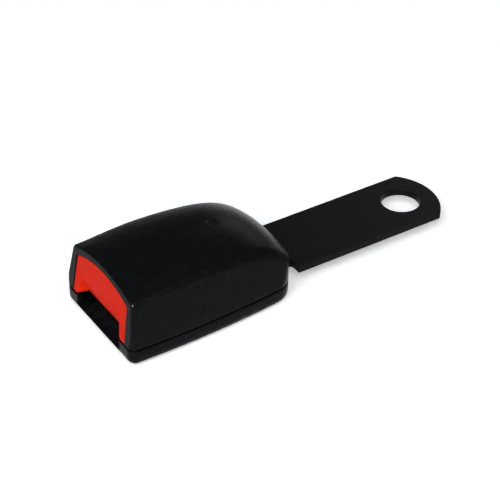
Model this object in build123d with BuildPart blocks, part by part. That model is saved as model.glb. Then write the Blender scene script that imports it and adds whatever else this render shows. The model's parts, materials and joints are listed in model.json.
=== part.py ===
from build123d import *
from math import cos, radians, sin, tan
import os

# Seat belt buckle on a rigid steel stalk, in millimetres.
# The origin is the centre of the anchor hole, on the top face of the stalk.
# +X points from the buckle towards the free end of the stalk, +Z is up, and the
# buckle's mouth opens towards -X. The part is symmetric about the XZ plane,
# apart from the torsion spring and the pivot pin's head and clip.

# Fits
face_gap = 0.3            # between pieces that slide past each other
pin_fit = 0.05            # radial running clearance of a shaft in its hole
seat_gap = 0.1            # between a spring's end and its seat
through = 60.0            # longer than any cut needs to be
lead = 1.0                # by which a cut starts outside a face
least_radius = 0.6        # of a corner inside a wall

# Anchor stalk, a flat steel bar
stalk_width = 30.0
stalk_thickness = 3.0
stalk_neck_width = 19.5
stalk_neck_fillet = 1.5
stalk_shoulder_gap = 5.8  # bare length of neck between the covers and the shoulder
anchor_hole_diameter = 16.0
anchor_end_reach = 15.0   # from the hole's centre to the rounded tip
anchor_end_radius = 21.0
anchor_corner_radius = 1.0

# Covers
anchor_to_body = 65.5     # from the hole's centre to the rear wall of the covers
body_length = 73.8
cover_side_room = 10.0    # from the frame's wall to the covers' side, at the widest station
body_widest_setback = 17.0
body_side_bow = 434.0     # radius of the bowed sides, seen from above
rear_bow = 0.8
rear_corner_radius = 10.0
front_corner_radius = 3.5
cover_wall = 2.2
cover_floor = 1.8
lower_depth = 7.5         # from the parting line to the underside
lower_edge_radius = 3.5
parting_z = -1.0
groove_height = 1.0
groove_depth = 0.8
front_slope = 7.5         # degrees that the front face leans back
side_draft = 8.6          # degrees that the upper cover's sides lean in
# share of the length behind the front, crown height, shoulder height and shoulder radius
cover_stations = [
    (-0.163, 19.6, 16.0, 2.0),
    (0.054, 21.6, 17.7, 2.2),
    (0.271, 23.2, 19.0, 2.8),
    (0.488, 23.9, 19.6, 4.2),
    (0.678, 23.3, 18.9, 5.6),
    (0.827, 20.9, 16.5, 6.3),
    (0.935, 16.2, 12.0, 6.0),
    (1.0, 11.2, 8.0, 4.5),
]
front_edge_radius = 1.0
gate_mark_radius = 1.3    # of the ring left by the mould on the upper cover
gate_mark_width = 0.3
gate_mark_depth = 0.12
gate_mark_place = (-90.0, 0.0)

# Opening for the release button, in the upper cover's front
opening_side_rim = 5.1    # from the opening to the covers' side, at the parting plane
opening_lean = 0.9        # that each side leans in up to the corner
opening_depth = 7.0       # enough to pass through the sloping front wall
opening_corner_height = 15.4
opening_crown_height = 19.0
opening_corner_radius = 1.0

# Release button
button_travel = 5.5
button_gap = 0.25
button_recess = 0.2       # of its front face behind the covers' front
button_wall = 2.4
button_foot_gap = 0.6     # from the parting plane up to the feet of the button
mouth_side_rim = 0.8      # from the mouth to the inside of the frame's wall
mouth_ceiling = 2.5
funnel_depth = 3.1
funnel_flare = 4.1
funnel_rise = 8.9         # of the sloping face over the mouth
leg_foot_width = 3.0      # of each leg's foot that stays flat
button_edge_radius = 0.5
mouth_sill_rim = 0.9      # from the frame's wall to the end of the sill
mouth_sill_thickness = 2.1
arm_thickness = 2.5
spring_seat_length = 2.0  # of the thickened end of each arm
spring_seat_width = 4.8
arm_tail = 3.0            # from the latch's ear to the end of each arm
spigot_radius = 1.1
spigot_length = 2.6

# Frame, a steel channel
frame_setback = 12.0      # behind the front of the covers
frame_rear_gap = 0.8      # to the inside of the rear wall
frame_thickness = 2.4
frame_height = 10.6       # top of the side walls
frame_corner_cut = 3.0
frame_bend_radius = 2.4
frame_rear_height = 1.5   # of the side walls over the stalk
frame_slope_gap = 7.6     # from the pivot to where the side walls slope down
tooth_setback = 10.0      # from the frame's front edge to the tooth's holding face
tab_width = 7.0           # of the tab that carries the ejector's guide rod
tab_thickness = 2.0
tab_gap = 0.8             # from the latch's eyes to the tab

# Latch lever, pivoted on a pin across the frame
latch_reach = 20.5        # from the tooth's holding face to the pivot
latch_lift = 12.5         # degrees
latch_thickness = 2.4
latch_side_room = 3.2     # from the latch's side to the frame's wall
latch_eye_radius = 3.8
latch_eye_width = 2.8
eye_room = 0.6            # beside each eye in the latch's plate
tooth_half_width = 4.5
tooth_thickness = 4.5
tooth_tip_thickness = 2.0
tooth_depth = 10.8        # from the pivot's height to the tip
tooth_room = 0.9          # round the tooth in the frame's base
ear_setback = 16.5        # from the pivot to the ear's front edge
ear_length = 3.0
ear_room = 0.6            # round each ear in the frame's wall
pivot_height = 6.2
pivot_radius = 2.0
pin_head_radius = 3.0
pin_head_thickness = 1.2
clip_radius = 3.3
clip_thickness = 0.8
pin_groove_radius = 1.5
clip_mouth = 2.5

# Ejector, which pushes the tongue out
ejector_travel = 9.0
ejector_setback = 3.5     # from the tooth's front to the ejector's face
ejector_spring_block = 5.6  # length of the ejector's spring when it is pressed
ejector_top = 1.8
fork_gap = 0.7            # each side of the tooth
fork_clearance = 0.8      # behind the tooth
guide_rod_radius = 1.0
guide_rod_head_radius = 1.8
guide_rod_engagement = 2.0

# Springs
ejector_wire = 0.6
ejector_coil_radius = 1.9
ejector_turns = 7
button_wire = 0.5
button_coil_radius = 1.65
button_turns = 8
latch_wire = 0.8
latch_coil_radius = 3.0
latch_turns = 4
latch_coil_side_room = 2.4  # from the coil's end to the latch's eye
leg_wire = 0.76           # of the legs, drawn a little finer by their bending
leg_overlap = 0.1         # of each leg's start inside the coil's end
latch_leg_angle = 6.2     # degrees that the leg on the latch slopes down
latch_leg_length = 12.0
anchor_leg_angle = 40.0   # degrees that the leg on the stalk slopes down
anchor_leg_length = 12.3

# Fasteners
rivet_radius = 3.0
rivet_head_radius = 4.6
rivet_head_height = 1.0
rivet_head_taper = 35.0
rivet_pitch = 9.5
rivet_inset = 4.5         # from the frame's rear edge to the first rivet
screw_radius = 1.1
screw_head_radius = 2.1
screw_head_height = 1.2
screw_boss_radius = 2.6
screw_sink = 0.3          # of the head below the underside
screw_length = 14.0
screw_rear_inset = 11.5   # from the rear wall
screw_side_inset = 2.7    # from the inside of the covers' side wall

# Tongue guide
guide_side_room = 0.6     # from the guide's side to the inside of the frame's wall
guide_land = 3.0
guide_toe = 1.0

# Ribs and posts inside the covers
rib_thickness = 1.4
pad_width = 4.0           # of each pad under the frame's base
frame_rest_length = 4.0   # of each block that the frame lies on or is held down by
front_rest_setback = 8.0  # of the foremost blocks behind the frame's front edge
post_thickness = 2.2
stalk_nose_gap = 2.4      # from the frame's tab to the stalk
button_spring_room = 9.0  # length left to the button's springs when it is pressed

# Places worked out from the sizes above
frame_outer = stalk_width / 2
frame_half = frame_outer - frame_thickness
body_half_width = frame_outer + cover_side_room
body_rear = -anchor_to_body
body_front = body_rear - body_length
body_widest = body_front + body_widest_setback
underside = parting_z - lower_depth
floor_top = underside + cover_floor
groove_top = parting_z + groove_height / 2
groove_bottom = parting_z - groove_height / 2
rear_cut = lead + 2 * rear_bow + cover_wall
stalk_shoulder = body_rear + stalk_shoulder_gap
base_top = -stalk_thickness
base_bottom = base_top - frame_thickness
frame_front = body_front + frame_setback
frame_rear = body_rear - cover_wall - frame_rear_gap
tooth_face = frame_front + tooth_setback
tooth_front = tooth_face - tooth_thickness
pivot_x = tooth_face + latch_reach
ear_front = pivot_x - ear_setback
ear_rear = ear_front + ear_length
latch_top = pivot_height + latch_thickness / 2
latch_bottom = pivot_height - latch_thickness / 2
ear_lift = ear_setback * sin(radians(latch_lift))
latch_half_width = frame_half - latch_side_room
latch_eye_inner = latch_half_width - latch_eye_width
mouth_half_width = frame_half - mouth_side_rim
mouth_sill_half_width = frame_outer + mouth_sill_rim
guide_half_width = frame_half - guide_side_room
guide_front = body_front + cover_wall + face_gap
arm_foot_height = latch_bottom - face_gap
ejector_front = tooth_front - ejector_setback
ejector_bottom = base_top + face_gap
rod_height = (ejector_bottom + ejector_top) / 2
tab_front = pivot_x + latch_eye_radius + tab_gap
ejector_rear = tab_front - ejector_spring_block - ejector_travel
tab_rear = tab_front + tab_thickness
stalk_nose = tab_rear + stalk_nose_gap
button_rear = frame_front - button_travel - face_gap
arm_inner = frame_outer + face_gap
arm_outer = arm_inner + arm_thickness
arm_foot = groove_top + seat_gap
arm_rear = ear_rear + arm_tail
button_foot = parting_z + button_foot_gap
button_spring_y = arm_inner + spring_seat_width / 2
button_spring_z = arm_foot + button_coil_radius + button_wire
post_front = arm_rear + button_travel + button_spring_room
post_rear = post_front + post_thickness
rail_inner = arm_inner + seat_gap
rib_inner = arm_outer + face_gap
rib_rear = arm_rear - spring_seat_length - face_gap
first_rivet = frame_rear - rivet_inset

front_face = Plane(
    origin=(body_front, 0, parting_z),
    x_dir=(0, -1, 0),
    z_dir=(-cos(radians(front_slope)), 0, sin(radians(front_slope))),
)
across = Plane.XZ         # profiles seen from the side, extruded across the part
os.makedirs("parts", exist_ok=True)


def plane_at(x):
    """A plane across the part at x, with its own x along +Y and its y along +Z."""
    return Plane(origin=(x, 0, 0), x_dir=(0, 1, 0), z_dir=(1, 0, 0))


def half_width_at(x):
    """Half the covers' width at x, on the parting line."""
    return body_half_width - (x - body_widest) ** 2 / (2 * body_side_bow)


opening_half_width = half_width_at(body_front) - opening_side_rim
opening_top_half_width = opening_half_width - opening_lean
screw_x = body_rear - screw_rear_inset
screw_y = half_width_at(screw_x) - cover_wall - screw_side_inset
screw_places = [(screw_x, -screw_y), (screw_x, screw_y)]
rest_places = [
    (x, side * (frame_half + frame_thickness / 2))
    for x in (frame_front + front_rest_setback, pivot_x + latch_eye_radius)
    for side in (-1, 1)
]


def side_plan(inset):
    """The covers' outline from above, inset by a wall."""
    front = body_front + inset
    rear = body_rear - inset
    middle = (front + rear) / 2
    with BuildSketch() as plan:
        with BuildLine():
            for side in (-1, 1):
                ThreePointArc(
                    (front, side * (half_width_at(front) - inset)),
                    (middle, side * (half_width_at(middle) - inset)),
                    (rear, side * (half_width_at(rear) - inset)),
                )
            Line(
                (front, -half_width_at(front) + inset),
                (front, half_width_at(front) - inset),
            )
            ThreePointArc(
                (rear, -half_width_at(rear) + inset),
                (rear + rear_bow, 0),
                (rear, half_width_at(rear) - inset),
            )
        make_face()
        fillet(plan.vertices().group_by(Axis.X)[-1], rear_corner_radius - inset)
        inner_radius = max(front_corner_radius - inset, least_radius)
        fillet(plan.vertices().group_by(Axis.X)[0], inner_radius)
    return plan.sketch


def cover_section(station, inset):
    """One cross-section of the upper cover, or of its cavity when inset by a wall."""
    share, crown, shoulder, radius = station
    x = body_front + min(share * body_length, body_length - inset)
    foot = half_width_at(x) - inset
    lean = (shoulder - parting_z) * tan(radians(side_draft))
    top_half = foot - lean
    low = parting_z - inset
    low_half = foot + inset * tan(radians(side_draft))
    with BuildSketch(plane_at(x)) as section:
        with BuildLine():
            Polyline(
                (-top_half, shoulder - inset),
                (-low_half, low),
                (low_half, low),
                (top_half, shoulder - inset),
            )
            ThreePointArc(
                (top_half, shoulder - inset),
                (0, crown - inset),
                (-top_half, shoulder - inset),
            )
        make_face()
        fillet(section.vertices().group_by(Axis.Y)[-1], max(radius - inset, least_radius))
    return section.sketch


def domed_block(inset):
    """The upper cover's outside form, or its cavity when inset by a wall."""
    with BuildPart() as block:
        loft([cover_section(station, inset) for station in cover_stations])
        with BuildSketch(Plane.XY.offset(parting_z - inset)):
            add(side_plan(inset))
        extrude(amount=through, mode=Mode.INTERSECT)
        split(bisect_by=front_face.offset(-inset), keep=Keep.BOTTOM)
    return block.part


def button_outline(gap):
    """The inverted U of the release button from the front, less a gap."""
    foot = button_foot if gap > 0 else parting_z - groove_height
    with BuildSketch() as outline:
        with BuildLine():
            Polyline(
                (-opening_top_half_width + gap, opening_corner_height - gap),
                (-opening_half_width + gap, foot),
                (opening_half_width - gap, foot),
                (opening_top_half_width - gap, opening_corner_height - gap),
            )
            ThreePointArc(
                (opening_top_half_width - gap, opening_corner_height - gap),
                (0, opening_crown_height - gap),
                (-opening_top_half_width + gap, opening_corner_height - gap),
            )
        make_face()
        fillet(outline.vertices().group_by(Axis.Y)[-1], opening_corner_radius)
    return outline.sketch


def coil(axis_plane, coil_radius, wire, turns, height):
    """Round wire wound into a coil that rises along a plane's normal."""
    helix = Edge.make_helix(pitch=height / turns, height=height, radius=coil_radius)
    with BuildPart() as spring:
        with BuildLine() as path:
            add(helix.moved(axis_plane.location))
        with BuildSketch(Plane(origin=path.line @ 0, z_dir=path.line % 0)):
            Circle(wire / 2)
        sweep(is_frenet=True)
    return spring.part


def compression_spring(start, end, y, z, coil_radius, wire, turns):
    """A coil spring along X that fills the room between two seats."""
    axis_plane = Plane(origin=(start + seat_gap + wire / 2, y, z), z_dir=(1, 0, 0))
    height = end - start - 2 * seat_gap - wire
    return coil(axis_plane, coil_radius, wire, turns, height)


def save(piece, name):
    """Names a finished piece and writes it to its own file."""
    piece.label = name
    export_step(piece, f"parts/{name}.step")


# Anchor stalk
with BuildPart() as anchor_stalk:
    with BuildSketch():
        with BuildLine():
            corner_x = anchor_end_reach - anchor_end_radius
            corner_x += (anchor_end_radius ** 2 - (stalk_width / 2) ** 2) ** 0.5
            Polyline(
                (corner_x, stalk_width / 2),
                (stalk_shoulder, stalk_width / 2),
                (stalk_shoulder, stalk_neck_width / 2),
                (stalk_nose, stalk_neck_width / 2),
                (stalk_nose, -stalk_neck_width / 2),
                (stalk_shoulder, -stalk_neck_width / 2),
                (stalk_shoulder, -stalk_width / 2),
                (corner_x, -stalk_width / 2),
            )
            ThreePointArc(
                (corner_x, -stalk_width / 2),
                (anchor_end_reach, 0),
                (corner_x, stalk_width / 2),
            )
        make_face()
    extrude(amount=-stalk_thickness)
    upright = anchor_stalk.edges().filter_by(Axis.Z)
    neck_corners = upright.filter_by_position(Axis.X, stalk_shoulder - 1, stalk_shoulder + 1)
    fillet(neck_corners.sort_by(lambda edge: abs(edge.center().Y))[:2], stalk_neck_fillet)
    tip_corners = anchor_stalk.edges().filter_by(Axis.Z).group_by(Axis.X)[-1]
    fillet(tip_corners, anchor_corner_radius)
    Hole(anchor_hole_diameter / 2)
    with Locations(*[(first_rivet - n * rivet_pitch, 0) for n in range(2)]):
        Hole(rivet_radius)
save(anchor_stalk.part, "anchor_stalk")


# Ribs, posts and screw bosses that stand down inside the upper cover
with BuildPart() as upper_ribs:
    with BuildSketch(Plane.XY.offset(groove_top)):
        with Locations(*screw_places):
            Circle(screw_boss_radius)
    extrude(amount=through)
    with BuildSketch(Plane.XY.offset(frame_height)):
        with Locations(*rest_places):
            Rectangle(frame_rest_length, frame_thickness)
    extrude(amount=through)
    with BuildSketch(Plane.XY.offset(groove_top)):
        for side in (-1, 1):
            with Locations((frame_front, side * (rib_inner + rib_thickness / 2))):
                Rectangle(
                    rib_rear - frame_front, rib_thickness, align=(Align.MIN, Align.CENTER)
                )
    extrude(amount=through)
    add(domed_block(cover_wall / 2), mode=Mode.INTERSECT)
    with Locations(*[(x, y, groove_top) for x, y in screw_places]):
        Cylinder(
            screw_radius + pin_fit,
            through,
            mode=Mode.SUBTRACT,
        )

# Shallow ring that the mould's gate leaves on top of the upper cover
with BuildPart() as gate_mark:
    with BuildSketch(Plane.XY.offset(frame_height)):
        with Locations(gate_mark_place):
            Circle(gate_mark_radius)
            Circle(gate_mark_radius - gate_mark_width, mode=Mode.SUBTRACT)
    extrude(amount=through)
    add(domed_block(gate_mark_depth), mode=Mode.SUBTRACT)

# Upper cover
with BuildPart() as upper_cover:
    add(domed_block(0))
    front_rim = upper_cover.faces().filter_by(front_face).edges()
    fillet(front_rim.sort_by(Axis.Z)[1:], front_edge_radius)
    add(domed_block(cover_wall), mode=Mode.SUBTRACT)
    add(upper_ribs.part)
    with BuildSketch(Plane.XY.offset(groove_top)):
        add(side_plan(-lead))
    extrude(amount=-through, mode=Mode.SUBTRACT)
    with BuildSketch(plane_at(body_front - lead)):
        add(button_outline(0))
    extrude(amount=lead + opening_depth, mode=Mode.SUBTRACT)
    with BuildSketch(plane_at(body_rear + rear_bow + lead)):
        with Locations((0, groove_top)):
            Rectangle(stalk_neck_width + 2 * face_gap, (face_gap - groove_top) * 2)
    extrude(amount=-rear_cut, mode=Mode.SUBTRACT)
    add(gate_mark.part, mode=Mode.SUBTRACT)
save(upper_cover.part, "upper_cover")

# Lower cover
with BuildPart() as lower_cover:
    with BuildSketch(Plane.XY.offset(groove_top)):
        add(side_plan(0))
    extrude(amount=underside - groove_top)
    fillet(lower_cover.faces().sort_by(Axis.Z)[0].edges(), lower_edge_radius)
    with BuildSketch(Plane.XY.offset(groove_top)):
        add(side_plan(cover_wall))
    extrude(amount=floor_top - groove_top, mode=Mode.SUBTRACT)
    with BuildSketch(Plane.XY.offset(groove_bottom)):
        add(side_plan(-lead))
        add(side_plan(groove_depth), mode=Mode.SUBTRACT)
    extrude(amount=groove_height, mode=Mode.SUBTRACT)
    with BuildSketch(plane_at(body_front - lead)):
        with BuildLine():
            sill = underside + mouth_sill_thickness
            Polyline(
                (-mouth_sill_half_width, groove_top),
                (-mouth_sill_half_width, sill),
                (mouth_sill_half_width, sill),
                (mouth_sill_half_width, groove_top),
                close=True,
            )
        make_face()
    extrude(amount=lead + cover_wall + face_gap, mode=Mode.SUBTRACT)
    with BuildSketch(plane_at(body_front - lead)):
        with Locations((0, (groove_top + groove_bottom) / 2)):
            Rectangle(opening_half_width * 2, groove_height)
    extrude(amount=lead + cover_wall + face_gap, mode=Mode.SUBTRACT)
    with BuildSketch(plane_at(body_rear + rear_bow + lead)):
        with Locations((0, -stalk_thickness)):
            Rectangle(stalk_neck_width + 2 * face_gap, (stalk_thickness + groove_top) * 2)
    extrude(amount=-rear_cut, mode=Mode.SUBTRACT)
    with BuildSketch(Plane.XY.offset(floor_top)):
        for x in (frame_front + front_rest_setback, pivot_x, frame_rear - rivet_inset * 2):
            for side in (-1, 1):
                with Locations((x, side * (frame_half - pad_width / 2))):
                    Rectangle(frame_rest_length, pad_width)
    extrude(amount=base_bottom - floor_top)
    with BuildSketch(Plane.XY.offset(floor_top)):
        for side in (-1, 1):
            with Locations((frame_front, side * (rail_inner + rib_thickness / 2))):
                Rectangle(
                    arm_rear + button_travel - frame_front,
                    rib_thickness,
                    align=(Align.MIN, Align.CENTER),
                )
    extrude(amount=arm_foot - face_gap - floor_top)
    with BuildSketch(Plane.XY.offset(floor_top)):
        for side in (-1, 1):
            with Locations(((post_front + post_rear) / 2, side * button_spring_y)):
                Rectangle(post_thickness, (button_spring_y - arm_inner) * 2)
    extrude(amount=button_spring_z + button_coil_radius + button_wire / 2 - floor_top)
    for side in (-1, 1):
        with BuildSketch(plane_at(post_front)):
            with Locations((side * button_spring_y, button_spring_z)):
                Circle(spigot_radius)
        extrude(amount=-spigot_length)
    with BuildSketch(Plane.XY.offset(floor_top)):
        with Locations(*screw_places):
            Circle(screw_boss_radius)
    extrude(amount=groove_top - floor_top)
    with BuildSketch(Plane.XY.offset(groove_top)):
        with Locations(*screw_places):
            Circle(screw_radius + pin_fit * 2)
    extrude(amount=underside - groove_top, mode=Mode.SUBTRACT)
    with BuildSketch(Plane.XY.offset(underside)):
        with Locations(*screw_places):
            Circle(screw_head_radius + pin_fit * 2)
    extrude(amount=screw_sink + screw_head_height, mode=Mode.SUBTRACT)
save(lower_cover.part, "lower_cover")

# Space in the button for the tongue, flared towards the front
with BuildPart() as mouth_space:
    with BuildSketch(across):
        with BuildLine():
            Polyline(
                (body_front - funnel_depth, underside),
                (frame_front, underside),
                (frame_front, mouth_ceiling),
                (body_front + funnel_depth, mouth_ceiling),
                (body_front - funnel_depth, mouth_ceiling + 2 * funnel_rise),
                close=True,
            )
        make_face()
    extrude(amount=through, both=True)
    with BuildSketch(Plane.XY.offset(underside)):
        with BuildLine():
            flare_end = mouth_half_width + 2 * funnel_flare
            Polyline(
                (body_front - funnel_depth, -flare_end),
                (body_front + funnel_depth, -mouth_half_width),
                (frame_front, -mouth_half_width),
                (frame_front, mouth_half_width),
                (body_front + funnel_depth, mouth_half_width),
                (body_front - funnel_depth, flare_end),
                close=True,
            )
        make_face()
    extrude(amount=through, mode=Mode.INTERSECT)
    with BuildSketch(plane_at(body_front - funnel_depth)):
        with BuildLine():
            leg_foot = opening_half_width - leg_foot_width
            Polyline(
                (-leg_foot, button_foot),
                (-mouth_half_width, mouth_ceiling),
                (mouth_half_width, mouth_ceiling),
                (leg_foot, button_foot),
                close=True,
            )
        make_face()
    extrude(amount=funnel_depth + frame_setback)

# Release button
with BuildPart() as release_button:
    with BuildSketch(plane_at(body_front - lead)):
        add(button_outline(button_gap))
    extrude(amount=button_rear - body_front + lead)
    split(bisect_by=front_face.offset(-button_recess), keep=Keep.BOTTOM)
    front_rim = release_button.faces().filter_by(front_face).edges()
    fillet(front_rim.sort_by(Axis.Z)[1:], button_edge_radius)
    with BuildSketch(plane_at(body_front + button_wall + button_recess)):
        with BuildLine():
            hollow_half = opening_top_half_width - button_gap - button_wall
            hollow_edge = opening_corner_height - button_gap - button_wall
            hollow_top = opening_crown_height - button_gap - button_wall
            Polyline(
                (hollow_half, hollow_edge),
                (hollow_half, mouth_ceiling + button_wall),
                (-hollow_half, mouth_ceiling + button_wall),
                (-hollow_half, hollow_edge),
            )
            ThreePointArc(
                (-hollow_half, hollow_edge), (0, hollow_top), (hollow_half, hollow_edge)
            )
        make_face()
    extrude(amount=frame_setback, mode=Mode.SUBTRACT)
    add(mouth_space.part, mode=Mode.SUBTRACT)
    with BuildSketch(across.offset(-arm_inner)):
        with BuildLine():
            ramp_top = arm_foot_height + ear_lift
            Polyline(
                (body_front + funnel_depth, arm_foot),
                (arm_rear, arm_foot),
                (arm_rear, arm_foot_height),
                (ear_front, arm_foot_height),
                (ear_front - button_travel, ramp_top),
                (body_front + funnel_depth, ramp_top),
                close=True,
            )
        make_face()
    extrude(amount=-arm_thickness)
    with BuildSketch(across.offset(-arm_inner)):
        with Locations((arm_rear, arm_foot)):
            Rectangle(
                spring_seat_length,
                arm_foot_height - arm_foot,
                align=(Align.MAX, Align.MIN),
            )
    extrude(amount=-spring_seat_width)
    mirror(about=Plane.XZ)
    for side in (-1, 1):
        with BuildSketch(plane_at(arm_rear)):
            with Locations((side * button_spring_y, button_spring_z)):
                Circle(spigot_radius)
        extrude(amount=spigot_length)
save(release_button.part, "release_button")

# Frame
with BuildPart() as frame:
    with BuildSketch(plane_at(frame_front)):
        with BuildLine():
            Polyline(
                (-frame_outer, frame_height),
                (-frame_outer, base_bottom),
                (frame_outer, base_bottom),
                (frame_outer, frame_height),
                (frame_half, frame_height),
                (frame_half, base_top),
                (-frame_half, base_top),
                (-frame_half, frame_height),
                close=True,
            )
        make_face()
    extrude(amount=frame_rear - frame_front)
    bends = frame.edges().filter_by(Axis.X).group_by(Axis.Z)[0]
    fillet(bends, frame_bend_radius)
    with BuildSketch(across):
        with BuildLine():
            wall_low = latch_bottom - ear_room
            rear_slope = pivot_x + frame_slope_gap
            Polyline(
                (frame_front, frame_height),
                (frame_front, latch_bottom),
                (frame_front + frame_corner_cut, frame_height),
                close=True,
            )
        make_face()
        with BuildLine():
            Polyline(
                (rear_slope, frame_height),
                (rear_slope + frame_height, frame_rear_height),
                (frame_rear, frame_rear_height),
                (frame_rear, frame_height),
                close=True,
            )
        make_face()
        with BuildLine():
            Polyline(
                (ear_front - ear_room, frame_height),
                (ear_front - ear_room, wall_low),
                (ear_rear + ear_room, wall_low),
                (ear_rear + ear_room, frame_height),
                close=True,
            )
        make_face()
    extrude(amount=through, both=True, mode=Mode.SUBTRACT)
    with BuildSketch(Plane.XY.offset(base_top)):
        with Locations(((tooth_front + tooth_face) / 2, 0)):
            Rectangle(
                tooth_thickness + 2 * tooth_room,
                2 * (tooth_half_width + tooth_room),
            )
    extrude(amount=-frame_thickness, mode=Mode.SUBTRACT)
    with BuildSketch(plane_at(tab_front)):
        with Locations((0, base_bottom)):
            Rectangle(tab_width, ejector_top - base_bottom, align=(Align.CENTER, Align.MIN))
    extrude(amount=tab_rear - tab_front)
    with BuildSketch(plane_at(tab_front)):
        with Locations((0, rod_height)):
            Circle(guide_rod_radius + pin_fit)
    extrude(amount=tab_rear - tab_front, mode=Mode.SUBTRACT)
    with BuildSketch(across):
        with Locations((pivot_x, pivot_height)):
            Circle(pivot_radius + pin_fit)
    extrude(amount=through, both=True, mode=Mode.SUBTRACT)
    with Locations(*[(first_rivet - n * rivet_pitch, 0, base_top) for n in range(2)]):
        Hole(rivet_radius)
save(frame.part, "buckle_frame")

# Rivets that join the stalk to the frame
with BuildPart() as stalk_rivets:
    with BuildSketch(Plane.XY.offset(base_bottom)):
        with Locations(*[(first_rivet - n * rivet_pitch, 0) for n in range(2)]):
            Circle(rivet_radius)
    extrude(amount=-base_bottom)
    for level, way in ((0, 1), (base_bottom, -1)):
        with BuildSketch(Plane.XY.offset(level)):
            with Locations(*[(first_rivet - n * rivet_pitch, 0) for n in range(2)]):
                Circle(rivet_head_radius)
        extrude(amount=way * rivet_head_height, taper=rivet_head_taper)
save(stalk_rivets.part, "stalk_rivets")

# Latch lever
with BuildPart() as latch:
    with BuildSketch(Plane.XY.offset(latch_bottom)):
        with Locations(((tooth_front + pivot_x) / 2, 0)):
            Rectangle(pivot_x - tooth_front, latch_half_width * 2)
        with Locations((ear_front, 0)):
            Rectangle(
                ear_length, (arm_outer - face_gap) * 2, align=(Align.MIN, Align.CENTER)
            )
        with Locations((pivot_x, 0)):
            Rectangle(
                2 * (latch_eye_radius + eye_room),
                latch_eye_inner * 2,
                mode=Mode.SUBTRACT,
            )
    extrude(amount=latch_thickness)
    for side in (-1, 1):
        with BuildSketch(across.offset(-side * latch_eye_inner)):
            with Locations((pivot_x, pivot_height)):
                Circle(latch_eye_radius)
        extrude(amount=-side * (latch_half_width - latch_eye_inner))
    with BuildSketch(across):
        with BuildLine():
            tip = pivot_height - tooth_depth
            Polyline(
                (tooth_front, latch_top),
                (tooth_face, latch_top),
                (tooth_face, tip),
                (tooth_face - tooth_tip_thickness, tip),
                (tooth_front, latch_bottom - latch_thickness),
                close=True,
            )
        make_face()
    extrude(amount=tooth_half_width, both=True)
    with BuildSketch(across):
        with Locations((pivot_x, pivot_height)):
            Circle(pivot_radius + pin_fit)
    extrude(amount=through, both=True, mode=Mode.SUBTRACT)
save(latch.part, "latch_lever")

# Pivot pin, headed at one end and held by a clip in a groove at the other
clip_inner_face = frame_outer + seat_gap
with BuildPart() as pivot_pin:
    with BuildSketch(across.offset(frame_outer)):
        with Locations((pivot_x, pivot_height)):
            Circle(pin_head_radius)
    extrude(amount=pin_head_thickness)
    with BuildSketch(across.offset(frame_outer)):
        with Locations((pivot_x, pivot_height)):
            Circle(pivot_radius)
    extrude(amount=-frame_outer - clip_inner_face - clip_thickness * 2)
    with BuildSketch(across.offset(-clip_inner_face)):
        with Locations((pivot_x, pivot_height)):
            Circle(pivot_radius)
            Circle(pin_groove_radius, mode=Mode.SUBTRACT)
    extrude(amount=-clip_thickness, mode=Mode.SUBTRACT)
save(pivot_pin.part, "latch_pivot_pin")

# Clip on the pivot pin
with BuildPart() as pin_clip:
    with BuildSketch(across.offset(-clip_inner_face)):
        with Locations((pivot_x, pivot_height)):
            Circle(clip_radius)
            Circle(pin_groove_radius, mode=Mode.SUBTRACT)
        with Locations((pivot_x, pivot_height + clip_radius)):
            Rectangle(clip_mouth, clip_radius * 2, mode=Mode.SUBTRACT)
    extrude(amount=-clip_thickness)
save(pin_clip.part, "pivot_pin_clip")

# Ejector
with BuildPart() as ejector:
    with BuildSketch(Plane.XY.offset(ejector_bottom)):
        with Locations(((ejector_front + ejector_rear) / 2, 0)):
            Rectangle(ejector_rear - ejector_front, (frame_half - face_gap) * 2)
        with Locations((ejector_front, 0)):
            Rectangle(
                tooth_face + fork_clearance - ejector_front,
                (tooth_half_width + fork_gap) * 2,
                align=(Align.MIN, Align.CENTER),
                mode=Mode.SUBTRACT,
            )
    extrude(amount=ejector_top - ejector_bottom)
    with BuildSketch(plane_at(ejector_rear)):
        with Locations((0, rod_height)):
            Circle(guide_rod_radius + face_gap)
    extrude(amount=ejector_front - ejector_rear, mode=Mode.SUBTRACT)
save(ejector.part, "tongue_ejector")

# Guide rod of the ejector, headed behind the frame's tab
with BuildPart() as guide_rod:
    with BuildSketch(plane_at(ejector_rear - guide_rod_engagement)):
        with Locations((0, rod_height)):
            Circle(guide_rod_radius)
    extrude(amount=tab_rear - ejector_rear + guide_rod_engagement)
    with BuildSketch(plane_at(tab_rear)):
        with Locations((0, rod_height)):
            Circle(guide_rod_head_radius)
    extrude(amount=guide_rod_radius)
save(guide_rod.part, "ejector_guide_rod")

# Compression springs
ejector_spring = compression_spring(
    ejector_rear, tab_front, 0, rod_height, ejector_coil_radius, ejector_wire, ejector_turns
)
save(ejector_spring, "ejector_spring")
for side, hand in ((-1, "left"), (1, "right")):
    button_spring = compression_spring(
        arm_rear,
        post_front,
        side * button_spring_y,
        button_spring_z,
        button_coil_radius,
        button_wire,
        button_turns,
    )
    save(button_spring, f"button_spring_{hand}")

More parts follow.
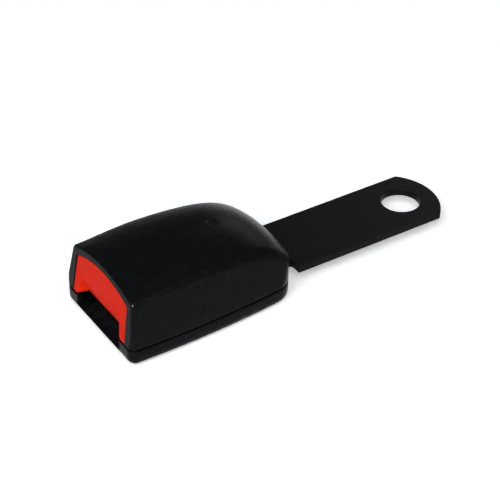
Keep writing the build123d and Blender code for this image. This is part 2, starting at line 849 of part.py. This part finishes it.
# Torsion spring round the pivot pin, one leg on the latch and one on the stalk
latch_leg_slope = radians(latch_leg_angle)
anchor_leg_slope = radians(anchor_leg_angle)
coil_height = 2 * (latch_eye_inner - latch_coil_side_room)
latch_leg_start = (
    pivot_x - latch_coil_radius * sin(latch_leg_slope),
    -coil_height / 2,
    pivot_height + latch_coil_radius * cos(latch_leg_slope),
)
anchor_leg_start = (
    pivot_x + latch_coil_radius * sin(anchor_leg_slope),
    coil_height / 2,
    pivot_height + latch_coil_radius * cos(anchor_leg_slope),
)
torsion_plane = Plane(
    origin=(pivot_x, -coil_height / 2, pivot_height),
    x_dir=(-sin(latch_leg_slope), 0, cos(latch_leg_slope)),
    z_dir=(0, 1, 0),
)
whole_turns = latch_turns + (latch_leg_angle + anchor_leg_angle) / 360
with BuildPart() as latch_spring:
    add(coil(torsion_plane, latch_coil_radius, latch_wire, whole_turns, coil_height))
    for start, way, slope, length in (
        (latch_leg_start, -1, latch_leg_slope, latch_leg_length),
        (anchor_leg_start, 1, anchor_leg_slope, anchor_leg_length),
    ):
        leg_plane = Plane(origin=start, z_dir=(way * cos(slope), 0, -sin(slope)))
        with BuildSketch(leg_plane.offset(-leg_overlap)):
            Circle(leg_wire / 2)
        extrude(amount=leg_overlap + length)
save(latch_spring.part, "latch_spring")

# Guide that lifts the tongue from the mouth's sill to the frame's base
with BuildPart() as tongue_guide:
    with BuildSketch(across):
        with BuildLine():
            Polyline(
                (guide_front, floor_top),
                (frame_front, floor_top),
                (frame_front, base_top),
                (frame_front - guide_land, base_top),
                (guide_front, floor_top + guide_toe),
                close=True,
            )
        make_face()
    extrude(amount=guide_half_width, both=True)
save(tongue_guide.part, "tongue_guide")

# Self-tapping screws, driven from the underside
with BuildPart() as cover_screws:
    with BuildSketch(Plane.XY.offset(underside + screw_head_height + screw_sink)):
        with Locations(*screw_places):
            Circle(screw_radius)
    extrude(amount=screw_length)
    with BuildSketch(Plane.XY.offset(underside + screw_sink)):
        with Locations(*screw_places):
            Circle(screw_head_radius)
    extrude(amount=screw_head_height)
save(cover_screws.part, "cover_screws")
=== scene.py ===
import json
from math import radians

import bpy
from mathutils import Matrix, Vector


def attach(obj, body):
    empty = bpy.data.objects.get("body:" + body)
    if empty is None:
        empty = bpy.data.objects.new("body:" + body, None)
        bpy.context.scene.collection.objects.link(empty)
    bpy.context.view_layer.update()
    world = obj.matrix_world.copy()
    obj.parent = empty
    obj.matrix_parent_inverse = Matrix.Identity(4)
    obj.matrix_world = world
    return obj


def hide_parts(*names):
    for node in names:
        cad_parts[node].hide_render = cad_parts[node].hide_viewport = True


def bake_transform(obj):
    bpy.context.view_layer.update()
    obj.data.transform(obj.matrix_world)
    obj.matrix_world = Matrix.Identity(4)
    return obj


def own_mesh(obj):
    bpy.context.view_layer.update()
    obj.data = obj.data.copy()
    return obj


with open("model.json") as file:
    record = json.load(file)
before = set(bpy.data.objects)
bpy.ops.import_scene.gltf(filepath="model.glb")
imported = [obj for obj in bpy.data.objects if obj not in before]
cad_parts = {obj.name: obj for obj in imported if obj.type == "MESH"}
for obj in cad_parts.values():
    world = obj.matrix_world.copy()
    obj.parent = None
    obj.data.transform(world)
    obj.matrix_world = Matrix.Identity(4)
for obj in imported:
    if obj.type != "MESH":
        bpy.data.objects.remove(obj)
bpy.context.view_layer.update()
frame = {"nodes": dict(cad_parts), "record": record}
nodes = frame["nodes"]
scene = bpy.context.scene

# Moulded and painted finishes: a soft mottle and a fine grain
MOTTLE_SCALE = 320.0
MOTTLE_DETAIL = 3.0
MOTTLE_SPAN = (0.3, 0.7)
MOTTLE_GLOSS_SWING = 0.04
GRAIN_DETAIL = 2.0
GRAIN_STRENGTH = 0.25

# Steel finishes: drawn lines
LINES_SCALE = 900.0
LINES_DETAIL = 4.0
LINES_SPAN = (0.35, 0.65)
LINES_GLOSS_SWING = 0.06
ALONG_X = (0.12, 1.0, 1.0)
ALL_WAYS = (1.0, 1.0, 1.0)

# Rounded edges, in metres, of the pieces that have them
WELD_DISTANCE = 0.000002
BEVEL_SEGMENTS = 3
BEVEL_ANGLE = radians(32)
BEVEL_WIDTHS = {
    "upper_cover": 0.0003,
    "lower_cover": 0.0003,
    "release_button": 0.00035,
    "anchor_stalk": 0.0003,
    "buckle_frame": 0.0002,
    "latch_lever": 0.0002,
    "tongue_ejector": 0.0002,
    "tongue_guide": 0.0002,
}

# Springs and the slides that press them
SLIDE_SPRINGS = {
    "button_spring_left": "button_slide",
    "button_spring_right": "button_slide",
    "ejector_spring": "ejector_slide",
}

# Floor, just under the lowest point of the part
FLOOR_HEIGHT = -0.0086
FLOOR_REACH = 3.0
FLOOR_COLOUR = (0.94, 0.955, 0.965, 1.0)
FLOOR_ROUGHNESS = 0.9
FLOOR_SPECULAR = 0.1
BACKGROUND_GLOW = 0.36

# Surroundings: a pale level up to the horizon's top, and a dim one above the sky's bottom
AIR_COLOUR = (0.97, 0.985, 1.0, 1.0)
HORIZON_LEVEL = 0.4
SKY_LEVEL = 0.12
HORIZON_TOP = 0.12
SKY_BOTTOM = 0.22

# Points that the lamps face
BODY_MIDDLE = (-0.09, 0.0, 0.0)
NEAR_CORNER = (-0.13, -0.02, 0.01)

# Camera, fitted to the photo: its axes, its place in metres, and its lens and sensor in millimetres
CAMERA_RIGHT = (0.8384, -0.5448, 0.0142)
CAMERA_UP = (0.3155, 0.5064, 0.8025)
CAMERA_BACK = (-0.4444, -0.6684, 0.5965)
CAMERA_PLACE = (-0.3683, -0.4449, 0.4006)
CAMERA_LENS = 124.83
CAMERA_SENSOR = 36.0


def new_material(name):
    """A material with nodes, its node tree and its shader."""
    material = bpy.data.materials.new(name)
    material.use_nodes = True
    tree = material.node_tree
    return material, tree, tree.nodes["Principled BSDF"]


def noise(tree, vector, scale, detail):
    """A noise pattern that is read at a vector."""
    texture = tree.nodes.new("ShaderNodeTexNoise")
    texture.inputs["Scale"].default_value = scale
    texture.inputs["Detail"].default_value = detail
    tree.links.new(vector, texture.inputs["Vector"])
    return texture.outputs["Fac"]


def two_tones(tree, shader, pattern, span, dark, light):
    """Let a pattern lead the shader's colour from dark to light."""
    tones = tree.nodes.new("ShaderNodeValToRGB")
    for stop, position, colour in zip(tones.color_ramp.elements, span, (dark, light)):
        stop.position = position
        stop.color = colour
    tree.links.new(pattern, tones.inputs["Fac"])
    tree.links.new(tones.outputs["Color"], shader.inputs["Base Color"])


def uneven_gloss(tree, shader, pattern, roughness, swing):
    """Let a pattern swing the shader's roughness about its middle value."""
    gloss = tree.nodes.new("ShaderNodeMapRange")
    gloss.inputs["To Min"].default_value = roughness - swing
    gloss.inputs["To Max"].default_value = roughness + swing
    tree.links.new(pattern, gloss.inputs["Value"])
    tree.links.new(gloss.outputs["Result"], shader.inputs["Roughness"])


def moulded(name, dark, light, roughness, grain, grain_depth, specular):
    """Moulded plastic or paint: two close tones in a soft mottle, uneven gloss and a fine grain."""
    material, tree, shader = new_material(name)
    place = tree.nodes.new("ShaderNodeTexCoord").outputs["Object"]
    mottle = noise(tree, place, MOTTLE_SCALE, MOTTLE_DETAIL)
    two_tones(tree, shader, mottle, MOTTLE_SPAN, dark, light)
    uneven_gloss(tree, shader, mottle, roughness, MOTTLE_GLOSS_SWING)
    bump = tree.nodes.new("ShaderNodeBump")
    bump.inputs["Strength"].default_value = GRAIN_STRENGTH
    bump.inputs["Distance"].default_value = grain_depth
    tree.links.new(noise(tree, place, grain, GRAIN_DETAIL), bump.inputs["Height"])
    tree.links.new(bump.outputs["Normal"], shader.inputs["Normal"])
    shader.inputs["Specular IOR Level"].default_value = specular
    return material


def metal(name, dark, light, roughness, stretch):
    """Bare or plated steel with fine lines, drawn out where the stretch is small."""
    material, tree, shader = new_material(name)
    mapping = tree.nodes.new("ShaderNodeMapping")
    mapping.inputs["Scale"].default_value = stretch
    place = tree.nodes.new("ShaderNodeTexCoord").outputs["Object"]
    tree.links.new(place, mapping.inputs["Vector"])
    lines = noise(tree, mapping.outputs["Vector"], LINES_SCALE, LINES_DETAIL)
    two_tones(tree, shader, lines, LINES_SPAN, dark, light)
    uneven_gloss(tree, shader, lines, roughness, LINES_GLOSS_SWING)
    shader.inputs["Metallic"].default_value = 1.0
    return material


finishes = {
    "cover_black": moulded(
        "cover_black",
        dark=(0.0034, 0.0041, 0.0047, 1.0),
        light=(0.005, 0.0058, 0.0066, 1.0),
        roughness=0.27,
        grain=2600.0,
        grain_depth=0.00001,
        specular=0.045,
    ),
    "button_red": moulded(
        "button_red",
        dark=(0.68, 0.013, 0.0014, 1.0),
        light=(0.74, 0.017, 0.002, 1.0),
        roughness=0.34,
        grain=2200.0,
        grain_depth=0.00001,
        specular=0.025,
    ),
    "coated_steel": moulded(
        "coated_steel",
        dark=(0.004, 0.004, 0.0043, 1.0),
        light=(0.006, 0.006, 0.0064, 1.0),
        roughness=0.4,
        grain=1500.0,
        grain_depth=0.00002,
        specular=0.045,
    ),
    "plated_steel": metal(
        "plated_steel",
        dark=(0.5, 0.49, 0.45, 1.0),
        light=(0.62, 0.61, 0.57, 1.0),
        roughness=0.34,
        stretch=ALONG_X,
    ),
    "spring_steel": metal(
        "spring_steel",
        dark=(0.36, 0.36, 0.37, 1.0),
        light=(0.46, 0.46, 0.48, 1.0),
        roughness=0.3,
        stretch=ALL_WAYS,
    ),
    "ejector_white": moulded(
        "ejector_white",
        dark=(0.68, 0.67, 0.61, 1.0),
        light=(0.74, 0.73, 0.68, 1.0),
        roughness=0.45,
        grain=1800.0,
        grain_depth=0.00002,
        specular=0.4,
    ),
}
slots = {piece["node"]: piece["material_slot"] for piece in frame["record"]["subparts"]}
for name, piece in nodes.items():
    piece.data.materials.clear()
    piece.data.materials.append(finishes[slots[name]])
    if name in BEVEL_WIDTHS:
        weld = piece.modifiers.new("weld", "WELD")
        weld.merge_threshold = WELD_DISTANCE
        bevel = piece.modifiers.new("edges", "BEVEL")
        bevel.width = BEVEL_WIDTHS[name]
        bevel.segments = BEVEL_SEGMENTS
        bevel.limit_method = "ANGLE"
        bevel.angle_limit = BEVEL_ANGLE
        bevel.harden_normals = True


def loose_spring(node):
    """A spring with the shape of its node, on a mesh of its own, in place of the hidden node."""
    spring = bpy.data.objects.new(node + "_coil", nodes[node].data.copy())
    scene.collection.objects.link(spring)
    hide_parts(node)
    return spring


# Springs that the slides press, each a loose copy of its node on the root body, with a mesh of its
# own
for node, joint in SLIDE_SPRINGS.items():
    spring = loose_spring(node)
    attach(spring, "root")
    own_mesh(spring)

# Twist spring, with one end on the lever and the other on the stalk: a loose copy, its place baked
# into its mesh
twisted = loose_spring("latch_spring")
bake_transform(twisted)

# Floor: a matt white sheet, with a glow that mirrors and glass show too
floor_mesh = bpy.data.meshes.new("floor")
floor_corners = [
    (-FLOOR_REACH, -FLOOR_REACH, FLOOR_HEIGHT),
    (FLOOR_REACH, -FLOOR_REACH, FLOOR_HEIGHT),
    (FLOOR_REACH, FLOOR_REACH, FLOOR_HEIGHT),
    (-FLOOR_REACH, FLOOR_REACH, FLOOR_HEIGHT),
]
floor_mesh.from_pydata(floor_corners, [], [(0, 1, 2, 3)])
floor = bpy.data.objects.new("floor", floor_mesh)
scene.collection.objects.link(floor)
floor_paint, paint, floor_shader = new_material("floor_paint")
floor_shader.inputs["Base Color"].default_value = FLOOR_COLOUR
floor_shader.inputs["Roughness"].default_value = FLOOR_ROUGHNESS
floor_shader.inputs["Specular IOR Level"].default_value = FLOOR_SPECULAR
rays = paint.nodes.new("ShaderNodeLightPath")
seen = rays.outputs["Is Camera Ray"]
for kind in ("Is Glossy Ray", "Is Transmission Ray"):
    either = paint.nodes.new("ShaderNodeMath")
    either.operation = "MAXIMUM"
    paint.links.new(seen, either.inputs[0])
    paint.links.new(rays.outputs[kind], either.inputs[1])
    seen = either.outputs["Value"]
strength = paint.nodes.new("ShaderNodeMath")
strength.operation = "MULTIPLY"
strength.inputs[1].default_value = BACKGROUND_GLOW
paint.links.new(seen, strength.inputs[0])
glow = paint.nodes.new("ShaderNodeEmission")
paint.links.new(strength.outputs["Value"], glow.inputs["Strength"])
floor_sum = paint.nodes.new("ShaderNodeAddShader")
paint.links.new(floor_shader.outputs["BSDF"], floor_sum.inputs[0])
paint.links.new(glow.outputs["Emission"], floor_sum.inputs[1])
paint.links.new(floor_sum.outputs["Shader"], paint.nodes["Material Output"].inputs["Surface"])
floor_mesh.materials.append(floor_paint)

# Surroundings: pale up to a little above the horizon, dim overhead
world = bpy.data.worlds.new("studio")
scene.world = world
world.use_nodes = True
air = world.node_tree
backdrop = air.nodes["Background"]
backdrop.inputs["Color"].default_value = AIR_COLOUR
direction = air.nodes.new("ShaderNodeTexCoord")
height = air.nodes.new("ShaderNodeSeparateXYZ")
air.links.new(direction.outputs["Generated"], height.inputs["Vector"])
fade = air.nodes.new("ShaderNodeMapRange")
fade.interpolation_type = "SMOOTHSTEP"
fade.inputs["From Min"].default_value = HORIZON_TOP
fade.inputs["From Max"].default_value = SKY_BOTTOM
fade.inputs["To Min"].default_value = HORIZON_LEVEL
fade.inputs["To Max"].default_value = SKY_LEVEL
air.links.new(height.outputs["Z"], fade.inputs["Value"])
air.links.new(fade.outputs["Result"], backdrop.inputs["Strength"])


def softbox(name, place, target, width, height, watts):
    """A rectangular area lamp at a place, facing a target."""
    lamp = bpy.data.lights.new(name, "AREA")
    lamp.shape = "RECTANGLE"
    lamp.size = width
    lamp.size_y = height
    lamp.energy = watts
    holder = bpy.data.objects.new(name, lamp)
    scene.collection.objects.link(holder)
    aim = Vector(target) - Vector(place)
    holder.rotation_euler = aim.to_track_quat("-Z", "Y").to_euler()
    holder.location = place
    return holder


# Lamps: a broad key from the camera's side, and two behind that give the rear slope its sheen
softbox("key", (-1.1, -1.05, 1.63), BODY_MIDDLE, width=1.6, height=1.6, watts=43.0)
softbox("back_right_low", (0.98, 0.69, 0.27), BODY_MIDDLE, width=1.0, height=0.35, watts=0.33)
softbox("back_right_high", (0.85, 0.62, 0.6), BODY_MIDDLE, width=0.65, height=0.42, watts=1.3)

# Small lamp that only mirrors, for the bright dot on the near corner
sparkle = softbox(
    "beside_camera", (-0.44, -0.45, 0.47), NEAR_CORNER, width=0.09, height=0.09, watts=67.0
)
sparkle.visible_diffuse = False

# Camera
camera_data = bpy.data.cameras.new("camera")
camera_data.lens = CAMERA_LENS
camera_data.sensor_width = CAMERA_SENSOR
camera = bpy.data.objects.new("camera", camera_data)
scene.collection.objects.link(camera)
turn = Matrix((CAMERA_RIGHT, CAMERA_UP, CAMERA_BACK)).transposed().to_4x4()
camera.matrix_world = Matrix.Translation(CAMERA_PLACE) @ turn
bpy.context.scene.camera = camera
scene.view_settings.view_transform = "Standard"
